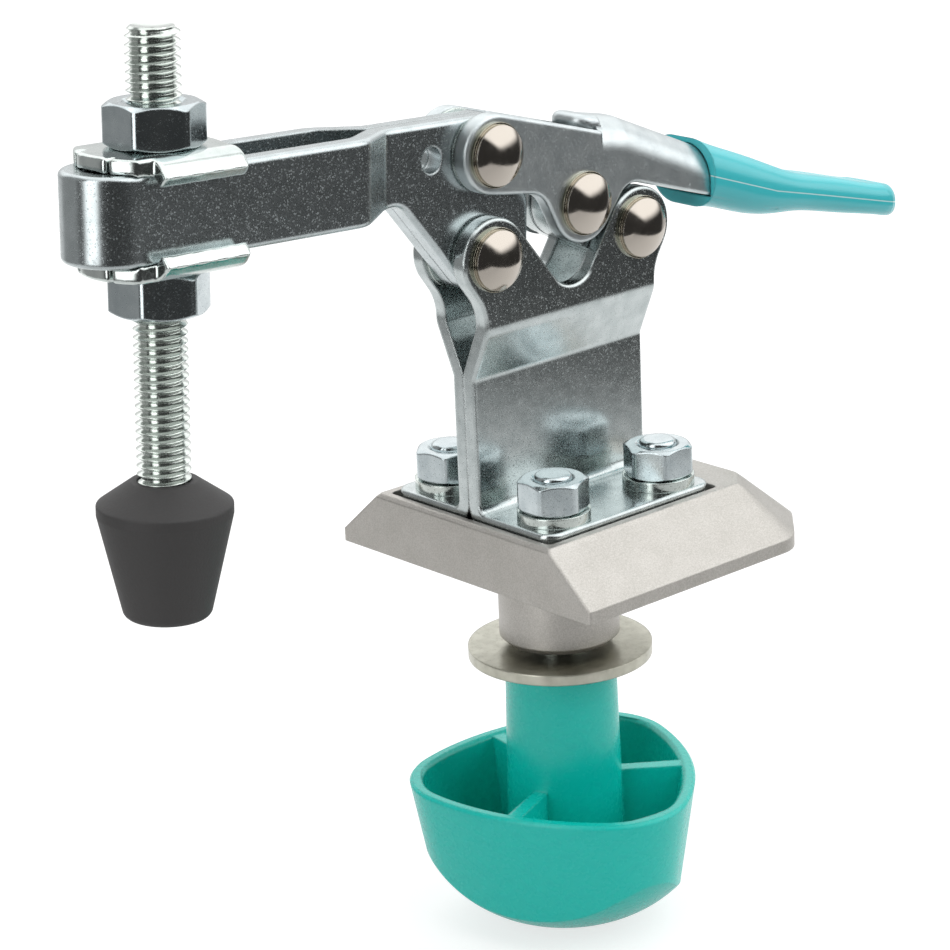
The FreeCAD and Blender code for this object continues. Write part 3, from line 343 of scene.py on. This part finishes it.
# Folded handle channel: the dullest of the sheet parts, so its side is a soft mid grey
HANDLE_ZINC = zinc_plate("zinc_plated_lever", "#C0C8CA", "#D2D9DA", 0.36, 0.19, 0.5, 0.012, 0.6)
# Flanged washers, burnished where the press tool bent them: broad clean highlights
PRESSED_ZINC = zinc_plate("zinc_plated_pressing", "#C8D0CE", "#D8DFDC", 0.15, 0.22, 0.24, 0.003, 0.3)
# Flat washers under the screws and beside the arm, brighter than the sheet they press on
WASHER_ZINC = zinc_plate("zinc_plated_washer", "#C2CAC6", "#D2D9D4", 0.18, 0.22, 0.5, 0.006, 0.3)
# Cold-headed nuts: the darkest mirror here, with hardly a grain on their flats
NUT_ZINC = zinc_plate("zinc_plated_nut", "#B6C0C3", "#C8D1D3", 0.16, 0.19, 0.32, 0.003, 0.35)
# Rolled threads, polished by the rolling: fine bright lines one pitch apart
THREAD_ZINC = zinc_plate("zinc_plated_thread", "#CFD6D1", "#E0E6E1", 0.17, 0.22, 0.3, 0.0, 0.06)
# Stamped clamp washer, plated and then tumbled: a dull olive grey face inside a brighter rim
TUMBLED_STEEL = zinc_plate("tumbled_steel_washer", "#AFAEA1", "#C6C5B8", 0.29, 0.25, 0.5, 0.02, 0.4)
# Rivet heads: small warm domes that mirror the whole room
RIVET_NICKEL = nickel_rivet("nickel_plated_rivet")
# Block: satin warm grey, sandy, without a sharp reflection anywhere
BLOCK_CAST = blasted_casting("shot_blasted_aluminium_casting")
# Knob: strong green-blue with a soft sheen, paler on its rounded rims
KNOB_NYLON = moulded("moulded_nylon_knob", "#04C6B9", 0.27, 1.5, 0.0012, 0.6)
# Grip: bluer and glossier than the knob, with a painted highlight along the parting line of its mould
GRIP_VINYL = moulded("moulded_vinyl_grip", "#48C8D0", 0.22, 1.5, 0.001, 0.6, "#C9ECEC")
# Cap: soft black rubber, nearly without gloss
CAP_RUBBER = moulded("moulded_rubber_cap", "#3A3939", 0.62, 0.35, 0.03, 0.4)

FINISHES = {
    "cast_block": BLOCK_CAST,
    "plate_steel": PLATE_ZINC,
    "link_steel": PLATE_ZINC,
    "rivet_steel": RIVET_NICKEL,
    "spacer_steel": WASHER_ZINC,
    "stud_steel": NUT_ZINC,
    "flanged_washer_steel": HANDLE_ZINC,
    "clamp_washer_steel": TUMBLED_STEEL,
    "screw_washer_steel": WASHER_ZINC,
    "spindle_nut_steel": NUT_ZINC,
    "screw_nut_steel": NUT_ZINC,
    "arm_steel": ARM_ZINC,
    "handle_steel": HANDLE_ZINC,
    "grip_plastic": GRIP_VINYL,
    "knob_plastic": KNOB_NYLON,
    "spindle_steel": THREAD_ZINC,
    "cap_rubber": CAP_RUBBER,
}


def finish_nodes():
    """Gives each CAD piece the finish of its slot."""
    for part in frame["record"]["subparts"]:
        mesh = frame["nodes"][part["node"]].data
        mesh.materials.clear()
        mesh.materials.append(FINISHES[part["material_slot"]])


def grower(name, inputs):
    """An empty Geometry Nodes tree with named inputs (name, kind), and its two end nodes."""
    tree = bpy.data.node_groups.new(name, "GeometryNodeTree")
    tree.interface.new_socket("Geometry", in_out="INPUT", socket_type="NodeSocketGeometry")
    for label, kind in inputs:
        tree.interface.new_socket(label, in_out="INPUT", socket_type=kind)
    tree.interface.new_socket("Geometry", in_out="OUTPUT", socket_type="NodeSocketGeometry")
    return tree, add(tree, "NodeGroupInput"), add(tree, "NodeGroupOutput")


def finish_tree(tree, given, out, shape):
    """Ends a tree: smooth, with its instances made real and its material set."""
    smooth = add(tree, "GeometryNodeSetShadeSmooth", {"Geometry": shape})
    real = add(tree, "GeometryNodeRealizeInstances", {"Geometry": smooth})
    material = given.outputs["Material"]
    dressed = add(tree, "GeometryNodeSetMaterial", {"Geometry": real, "Material": material})
    tree.links.new(dressed.outputs[0], out.inputs[0])


def thread_tree():
    """A rod with a rolled thread: a sheet of rows, wound so that each row climbs one pitch a turn."""
    lengths = ("Crest Radius", "Root Radius", "Pitch", "Foot", "Top", "Chamfer")
    inputs = [(label, "NodeSocketFloat") for label in lengths]
    inputs += [("Turns", "NodeSocketInt"), ("Material", "NodeSocketMaterial")]
    tree, given, out = grower("rolled_thread", inputs)
    size = given.outputs
    rows = add(
        tree, "ShaderNodeMath", {0: size["Turns"], 1: THREAD_STEPS, 2: 1.0}, operation="MULTIPLY_ADD"
    )
    sheet = add(
        tree, "GeometryNodeMeshGrid",
        {"Size X": 1.0, "Size Y": 1.0, "Vertices X": THREAD_SIDES + 1, "Vertices Y": rows},
    )
    flat = add(tree, "ShaderNodeSeparateXYZ", {0: add(tree, "GeometryNodeInputPosition")})
    turn = add(tree, "ShaderNodeMath", {0: flat.outputs["X"], 1: 0.5}, operation="ADD")
    share = add(tree, "ShaderNodeMath", {0: flat.outputs["Y"], 1: 0.5}, operation="ADD")
    wound = add(tree, "ShaderNodeMath", {0: share, 1: size["Turns"]}, operation="MULTIPLY")
    climb = add(tree, "ShaderNodeMath", {0: wound, 1: turn}, operation="ADD")
    start = add(tree, "ShaderNodeMath", {0: size["Foot"], 1: size["Pitch"]}, operation="SUBTRACT")
    raw = add(tree, "ShaderNodeMath", {0: climb, 1: size["Pitch"], 2: start}, operation="MULTIPLY_ADD")
    height = add(tree, "ShaderNodeClamp", {"Value": raw, "Min": size["Foot"], "Max": size["Top"]})
    groove = add(tree, "ShaderNodeMath", {0: wound, 1: 0.5}, operation="PINGPONG")
    flank = add(
        tree, "ShaderNodeMapRange",
        {"Value": groove, "From Min": FLANK_FOOT, "From Max": FLANK_CREST},
    )
    hollow = add(tree, "ShaderNodeMath", {0: flank, 1: FLANK_HOLLOW}, operation="POWER")
    depth = add(
        tree, "ShaderNodeMath", {0: size["Crest Radius"], 1: size["Root Radius"]}, operation="SUBTRACT"
    )
    profile = add(
        tree, "ShaderNodeMath", {0: hollow, 1: depth, 2: size["Root Radius"]}, operation="MULTIPLY_ADD"
    )
    below = add(tree, "ShaderNodeMath", {0: size["Top"], 1: height}, operation="SUBTRACT")
    above = add(tree, "ShaderNodeMath", {0: height, 1: size["Foot"]}, operation="SUBTRACT")
    inside = add(tree, "ShaderNodeMath", {0: below, 1: above}, operation="MINIMUM")
    tip = add(
        tree, "ShaderNodeMath", {0: size["Crest Radius"], 1: size["Chamfer"]}, operation="SUBTRACT"
    )
    cone = add(tree, "ShaderNodeMath", {0: inside, 1: tip}, operation="ADD")
    radius = add(tree, "ShaderNodeMath", {0: profile, 1: cone}, operation="MINIMUM")
    angle = add(tree, "ShaderNodeMath", {0: turn, 1: math.tau}, operation="MULTIPLY")
    cosine = add(tree, "ShaderNodeMath", {0: angle}, operation="COSINE")
    sine = add(tree, "ShaderNodeMath", {0: angle}, operation="SINE")
    along = add(tree, "ShaderNodeMath", {0: cosine, 1: radius}, operation="MULTIPLY")
    across = add(tree, "ShaderNodeMath", {0: sine, 1: radius}, operation="MULTIPLY")
    place = add(tree, "ShaderNodeCombineXYZ", {"X": along, "Y": across, "Z": height})
    wall = add(tree, "GeometryNodeSetPosition", {"Geometry": sheet, "Position": place})
    disc = add(
        tree, "GeometryNodeMeshCircle",
        {"Vertices": THREAD_SIDES, "Radius": tip}, fill_type="TRIANGLE_FAN",
    )
    spot = add(tree, "GeometryNodeInputPosition")
    from_middle = add(tree, "ShaderNodeVectorMath", {0: spot}, operation="LENGTH")
    sag = add(
        tree, "ShaderNodeMapRange",
        {"Value": from_middle.outputs["Value"], "From Max": tip, "To Min": -SPINDLE_DISH, "To Max": 0.0},
    )
    drop = add(tree, "ShaderNodeCombineXYZ", {"Z": sag})
    dished = add(tree, "GeometryNodeSetPosition", {"Geometry": disc, "Offset": drop})
    lid_height = add(tree, "ShaderNodeCombineXYZ", {"Z": size["Top"]})
    lid = add(tree, "GeometryNodeTransform", {"Geometry": dished, "Translation": lid_height})
    base_height = add(tree, "ShaderNodeCombineXYZ", {"Z": size["Foot"]})
    turned = add(tree, "GeometryNodeFlipFaces", {"Mesh": disc})
    base = add(tree, "GeometryNodeTransform", {"Geometry": turned, "Translation": base_height})
    whole = add(tree, "GeometryNodeJoinGeometry")
    for piece in (base, lid, wall):
        tree.links.new(piece.outputs[0], whole.inputs[0])
    closed = add(tree, "GeometryNodeMergeByDistance", {"Geometry": whole, "Distance": JOINED})
    finish_tree(tree, given, out, closed)
    return tree


def nut_tree():
    """Hexagon nuts on the points that it is given, each turned by its point's own angle."""
    lengths = ("Flats", "Height", "Bore", "Countersink")
    inputs = [(label, "NodeSocketFloat") for label in lengths] + [("Material", "NodeSocketMaterial")]
    tree, given, out = grower("hexagon_nuts", inputs)
    size = given.outputs
    sheet = add(
        tree, "GeometryNodeMeshGrid",
        {"Size X": 1.0, "Size Y": 1.0, "Vertices X": NUT_SIDES + 1, "Vertices Y": 9},
    )
    flat = add(tree, "ShaderNodeSeparateXYZ", {0: add(tree, "GeometryNodeInputPosition")})
    turn = add(tree, "ShaderNodeMath", {0: flat.outputs["X"], 1: 0.5}, operation="ADD")
    angle = add(tree, "ShaderNodeMath", {0: turn, 1: math.tau}, operation="MULTIPLY")
    share = add(tree, "ShaderNodeMath", {0: flat.outputs["Y"], 1: 8.0, 2: 4.0}, operation="MULTIPLY_ADD")
    row = add(tree, "ShaderNodeMath", {0: share}, operation="ROUND")
    half = add(tree, "ShaderNodeMath", {0: size["Flats"], 1: 0.5}, operation="MULTIPLY")
    shifted = add(tree, "ShaderNodeMath", {0: angle, 1: math.radians(30)}, operation="SUBTRACT")
    half_side = math.radians(30)
    off_flat = add(
        tree, "ShaderNodeMath", {0: shifted, 1: half_side, 2: -half_side}, operation="WRAP"
    )
    slant = add(tree, "ShaderNodeMath", {0: off_flat}, operation="COSINE")
    sharp = add(tree, "ShaderNodeMath", {0: half, 1: slant}, operation="DIVIDE")
    corner = add(tree, "ShaderNodeMath", {0: half, 1: NUT_CORNER_SHARE}, operation="MULTIPLY")
    hexagon = add(tree, "ShaderNodeMath", {0: sharp, 1: corner}, operation="MINIMUM")
    face = add(tree, "ShaderNodeMath", {0: half, 1: NUT_FACE_SHARE}, operation="MULTIPLY")
    spread = add(tree, "ShaderNodeMath", {0: hexagon, 1: face}, operation="SUBTRACT")
    drop = add(tree, "ShaderNodeMath", {0: spread, 1: math.tan(NUT_CHAMFER)}, operation="MULTIPLY")
    mouth = add(tree, "ShaderNodeMath", {0: size["Bore"], 1: size["Countersink"]}, operation="ADD")
    lip = add(tree, "ShaderNodeMath", {0: size["Height"], 1: size["Countersink"]}, operation="SUBTRACT")
    shoulder = add(tree, "ShaderNodeMath", {0: size["Height"], 1: drop}, operation="SUBTRACT")
    top = size["Height"]
    bore = size["Bore"]
    sink = size["Countersink"]
    section = [
        (bore, lip), (bore, sink), (mouth, 0.0), (face, 0.0), (hexagon, drop),
        (hexagon, shoulder), (face, top), (mouth, top), (bore, lip),
    ]
    radius = add(tree, "GeometryNodeIndexSwitch", {"Index": row}, data_type="FLOAT")
    height = add(tree, "GeometryNodeIndexSwitch", {"Index": row}, data_type="FLOAT")
    for chooser, column in ((radius, 0), (height, 1)):
        while len(chooser.index_switch_items) < len(section):
            chooser.index_switch_items.new()
        for i, values in enumerate(section):
            value = values[column]
            if isinstance(value, float):
                chooser.inputs[i + 1].default_value = value
            else:
                source = value if isinstance(value, bpy.types.NodeSocket) else value.outputs[0]
                tree.links.new(source, chooser.inputs[i + 1])
    cosine = add(tree, "ShaderNodeMath", {0: angle}, operation="COSINE")
    sine = add(tree, "ShaderNodeMath", {0: angle}, operation="SINE")
    along = add(tree, "ShaderNodeMath", {0: cosine, 1: radius}, operation="MULTIPLY")
    across = add(tree, "ShaderNodeMath", {0: sine, 1: radius}, operation="MULTIPLY")
    place = add(tree, "ShaderNodeCombineXYZ", {"X": along, "Y": across, "Z": height})
    ring = add(tree, "GeometryNodeSetPosition", {"Geometry": sheet, "Position": place})
    nut = add(tree, "GeometryNodeMergeByDistance", {"Geometry": ring, "Distance": JOINED})
    own_turn = add(tree, "GeometryNodeInputNamedAttribute", {"Name": "turn"}, data_type="FLOAT")
    spin = add(tree, "FunctionNodeAxisAngleToRotation", {"Axis": (0, 0, 1), "Angle": own_turn})
    placed = add(
        tree, "GeometryNodeInstanceOnPoints",
        {"Points": size["Geometry"], "Instance": nut, "Rotation": spin},
    )
    finish_tree(tree, given, out, placed)
    return tree


def grown(name, points, tree, values, place=None):
    """A plain mesh piece from a tree, its inputs set by name, taken to its place in the frame."""
    seed = bpy.data.meshes.new(name + "_points")
    seed.from_pydata([Vector(point[:3]) * MM for point in points], [], [])
    turns = seed.attributes.new("turn", "FLOAT", "POINT")
    for i, point in enumerate(points):
        turns.data[i].value = math.radians(point[3])
    maker = bpy.data.objects.new(name + "_maker", seed)
    bpy.context.scene.collection.objects.link(maker)
    modifier = maker.modifiers.new(name, "NODES")
    modifier.node_group = tree
    for item in tree.interface.items_tree:
        if item.in_out == "INPUT" and item.name in values:
            modifier[item.identifier] = values[item.name]
    ready = maker.evaluated_get(bpy.context.evaluated_depsgraph_get())
    mesh = bpy.data.meshes.new_from_object(ready)
    maker.modifiers.clear()
    bpy.data.objects.remove(maker)
    mesh.name = name
    if place:
        mesh.transform(place)
    mesh.set_sharp_from_angle(angle=SHARP_ANGLE)
    piece = bpy.data.objects.new(name, mesh)
    bpy.context.scene.collection.objects.link(piece)
    return piece


def threaded_spindle():
    """The spindle with its thread in full, in place of the plain rod."""
    turns = math.ceil((SPINDLE_TOP - SPINDLE_FOOT) / THREAD_PITCH) + 2
    values = {
        "Crest Radius": THREAD_CREST,
        "Root Radius": THREAD_ROOT,
        "Pitch": THREAD_PITCH,
        "Foot": SPINDLE_FOOT,
        "Top": SPINDLE_TOP,
        "Chamfer": THREAD_CHAMFER,
        "Turns": turns,
        "Material": THREAD_ZINC,
    }
    place = TO_ARM @ Matrix.Translation((SPINDLE_OFFSET, 0, 0))
    spindle = grown("threaded_spindle", [(0, 0, 0, 0)], thread_tree(), values, place)
    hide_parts("spindle_rod")
    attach(spindle, "spindle")


def nuts():
    """The nuts with their chamfers and countersinks, in place of the plain ones."""
    tree = nut_tree()
    spindle_nodes = ("upper_spindle_nut", "lower_spindle_nut")
    screw_nodes = ("front_nut", "right_nut", "left_nut", "rear_nut")
    sets = [
        ("spindle_nuts", SPINDLE_NUT, SPINDLE_NUT_PLACES, TO_ARM, spindle_nodes,
         "carriage", "spindle_nut_steel"),
        ("screw_nuts", SCREW_NUT, SCREW_NUT_PLACES, None, screw_nodes, "base", "screw_nut_steel"),
    ]
    for name, sizes, points, place, nodes, body, slot in sets:
        values = dict(zip(("Flats", "Height", "Bore", "Countersink"), sizes), Material=NUT_ZINC)
        piece = grown(name, points, tree, values, place)
        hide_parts(*nodes)
        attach(piece, body)


def pressed_washers():
    """The flanged washers with the soft edges of a pressing, in place of the plain ones."""
    together = bmesh.new()
    for node in ("upper_flanged_washer", "lower_flanged_washer"):
        blank = frame["nodes"][node].data.copy()
        merged = bmesh.new()
        merged.from_mesh(blank)
        bmesh.ops.remove_doubles(merged, verts=merged.verts, dist=0.001 * MM)
        merged.to_mesh(blank)
        merged.free()
        maker = bpy.data.objects.new(node + "_maker", blank)
        bpy.context.scene.collection.objects.link(maker)
        remesh = maker.modifiers.new("fine_skin", "REMESH")
        remesh.mode = "VOXEL"
        remesh.voxel_size = PRESSED_SKIN
        smooth = maker.modifiers.new("soft_edges", "SMOOTH")
        smooth.factor = 0.5
        smooth.iterations = PRESSED_PASSES
        ready = maker.evaluated_get(bpy.context.evaluated_depsgraph_get())
        pressed = bpy.data.meshes.new_from_object(ready)
        bpy.data.objects.remove(maker)
        together.from_mesh(pressed)
    mesh = bpy.data.meshes.new("pressed_washers")
    together.to_mesh(mesh)
    together.free()
    for face in mesh.polygons:
        face.use_smooth = True
    mesh.materials.clear()
    mesh.materials.append(PRESSED_ZINC)
    piece = bpy.data.objects.new("pressed_washers", mesh)
    bpy.context.scene.collection.objects.link(piece)
    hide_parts("upper_flanged_washer", "lower_flanged_washer")
    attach(piece, "carriage")


def panel(tree, azimuth, elevation, centre, half, low, high, soft, spread=0.0):
    """How far a direction lies on a soft box, from 0 to 1. Angles are in degrees.

    The box reaches from low to high, and its left edge moves out by twice the spread per degree up.
    """
    shift = add(tree, "ShaderNodeMath", {0: elevation, 1: spread}, operation="MULTIPLY")
    moved = add(tree, "ShaderNodeMath", {0: azimuth, 1: shift}, operation="ADD")
    turned = add(tree, "ShaderNodeMath", {0: moved, 1: math.radians(centre)}, operation="SUBTRACT")
    beside = add(tree, "ShaderNodeMath", {0: turned, 1: math.pi, 2: -math.pi}, operation="WRAP")
    off = add(tree, "ShaderNodeMath", {0: beside}, operation="ABSOLUTE")
    past = add(tree, "ShaderNodeMath", {0: off, 1: shift}, operation="SUBTRACT")
    edges = [
        (past, half + soft / 2, half - soft / 2),
        (elevation, low - soft / 2, low + soft / 2),
        (elevation, high + soft / 2, high - soft / 2),
    ]
    within = 1.0
    for value, outer, inner in edges:
        part = add(
            tree, "ShaderNodeMapRange",
            {"Value": value, "From Min": math.radians(outer), "From Max": math.radians(inner)},
            interpolation_type="SMOOTHSTEP",
        )
        within = add(tree, "ShaderNodeMath", {0: within, 1: part}, operation="MULTIPLY")
    return within


def studio():
    """Studio round the clamp: a soft box on the right, one on the left, a white backdrop behind, a
    pale ceiling, and a dim room on the camera's side and below the edge of the table."""
    world = bpy.data.worlds.new("studio_world")
    bpy.context.scene.world = world
    world.use_nodes = True
    tree = world.node_tree
    tree.nodes.clear()
    sky = add(tree, "ShaderNodeTexCoord").outputs["Generated"]
    direction = add(tree, "ShaderNodeSeparateXYZ", {0: sky})
    azimuth = add(
        tree, "ShaderNodeMath",
        {0: direction.outputs["Y"], 1: direction.outputs["X"]}, operation="ARCTAN2",
    )
    elevation = add(tree, "ShaderNodeMath", {0: direction.outputs["Z"]}, operation="ARCSINE")
    boxes = [(panel(tree, azimuth, elevation, *box), strength) for box, strength in SOFT_BOXES]
    light = DIM_ROOM
    for box, strength in boxes:
        light = add(
            tree, "ShaderNodeMath", {0: box, 1: strength, 2: light}, operation="MULTIPLY_ADD"
        )
    rays = add(tree, "ShaderNodeLightPath")
    seen = add(
        tree, "ShaderNodeMath",
        {0: rays.outputs["Is Camera Ray"], 1: rays.outputs["Is Transmission Ray"]}, operation="MAXIMUM",
    )
    room = add(tree, "ShaderNodeBackground", {"Color": linear("#FFFFFF"), "Strength": light})
    white = add(tree, "ShaderNodeBackground", {"Color": (1, 1, 1, 1), "Strength": 1.0})
    mix = add(tree, "ShaderNodeMixShader", {0: seen, 1: room, 2: white})
    add(tree, "ShaderNodeOutputWorld", {0: mix})


def floor():
    """White table under the knob, in line with the camera and long behind the clamp."""
    material, tree, output = surface("white_table")
    away = Vector((-math.sin(CAMERA_TURN), math.cos(CAMERA_TURN), 0))
    right = Vector((math.cos(CAMERA_TURN), math.sin(CAMERA_TURN), 0))
    place = add(tree, "ShaderNodeTexCoord").outputs["Object"]
    behind = add(tree, "ShaderNodeVectorMath", {0: place, 1: away}, operation="DOT_PRODUCT")
    fade = add(
        tree, "ShaderNodeMapRange",
        {
            "Value": behind.outputs["Value"],
            "From Min": -TABLE_FADE,
            "From Max": TABLE_FADE,
            "To Min": TABLE_FRONT,
            "To Max": TABLE_BACK,
        },
    )
    rays = add(tree, "ShaderNodeLightPath")
    strength = add(
        tree, "ShaderNodeMix", {"Factor": rays.outputs["Is Camera Ray"], "A": fade, "B": TABLE_BACK}
    )
    glow = add(tree, "ShaderNodeEmission", {"Color": (1, 1, 1, 1), "Strength": strength})
    matt = add(tree, "ShaderNodeBsdfDiffuse", {"Color": linear("#A4A4A4")})
    both = add(tree, "ShaderNodeAddShader", {0: glow, 1: matt})
    plain = add(tree, "ShaderNodeBsdfDiffuse", {"Color": linear("#C8C8C8")})
    direct = add(
        tree, "ShaderNodeMath",
        {0: rays.outputs["Is Camera Ray"], 1: rays.outputs["Is Glossy Ray"]}, operation="MAXIMUM",
    )
    seen = add(
        tree, "ShaderNodeMath", {0: direct, 1: rays.outputs["Is Transmission Ray"]}, operation="MAXIMUM"
    )
    mix = add(tree, "ShaderNodeMixShader", {0: seen, 1: plain, 2: both})
    tree.links.new(mix.outputs[0], output.inputs["Surface"])
    level = cad_low.z - TABLE_DROP
    mesh = bpy.data.meshes.new("table")
    places = [right * x + away * y + Vector((0, 0, level)) for x, y in TABLE_CORNERS]
    mesh.from_pydata(places, [], [(0, 1, 2, 3)])
    mesh.materials.append(material)
    table = bpy.data.objects.new("table", mesh)
    bpy.context.scene.collection.objects.link(table)


def camera():
    """The camera where the photograph was taken from."""
    data = bpy.data.cameras.new("photo_camera")
    data.lens = CAMERA_LENS
    data.sensor_width = CAMERA_SENSOR
    data.clip_start = 0.02
    data.clip_end = 20.0
    back = Vector(
        (
            math.sin(CAMERA_TURN) * math.cos(CAMERA_RISE),
            -math.cos(CAMERA_TURN) * math.cos(CAMERA_RISE),
            math.sin(CAMERA_RISE),
        )
    )
    right = Vector((math.cos(CAMERA_TURN), math.sin(CAMERA_TURN), 0))
    up = back.cross(right)
    rolled_right = math.cos(CAMERA_ROLL) * right + math.sin(CAMERA_ROLL) * up
    rolled_up = math.cos(CAMERA_ROLL) * up - math.sin(CAMERA_ROLL) * right
    turn = Matrix((rolled_right, rolled_up, back)).transposed()
    eye = bpy.data.objects.new("photo_camera", data)
    eye.matrix_world = Matrix.Translation(CAMERA_PLACE) @ turn.to_4x4()
    bpy.context.scene.collection.objects.link(eye)
    bpy.context.scene.camera = eye


finish_nodes()
threaded_spindle()
nuts()
pressed_washers()
studio()
floor()
camera()
bpy.context.scene.view_settings.view_transform = "Standard"
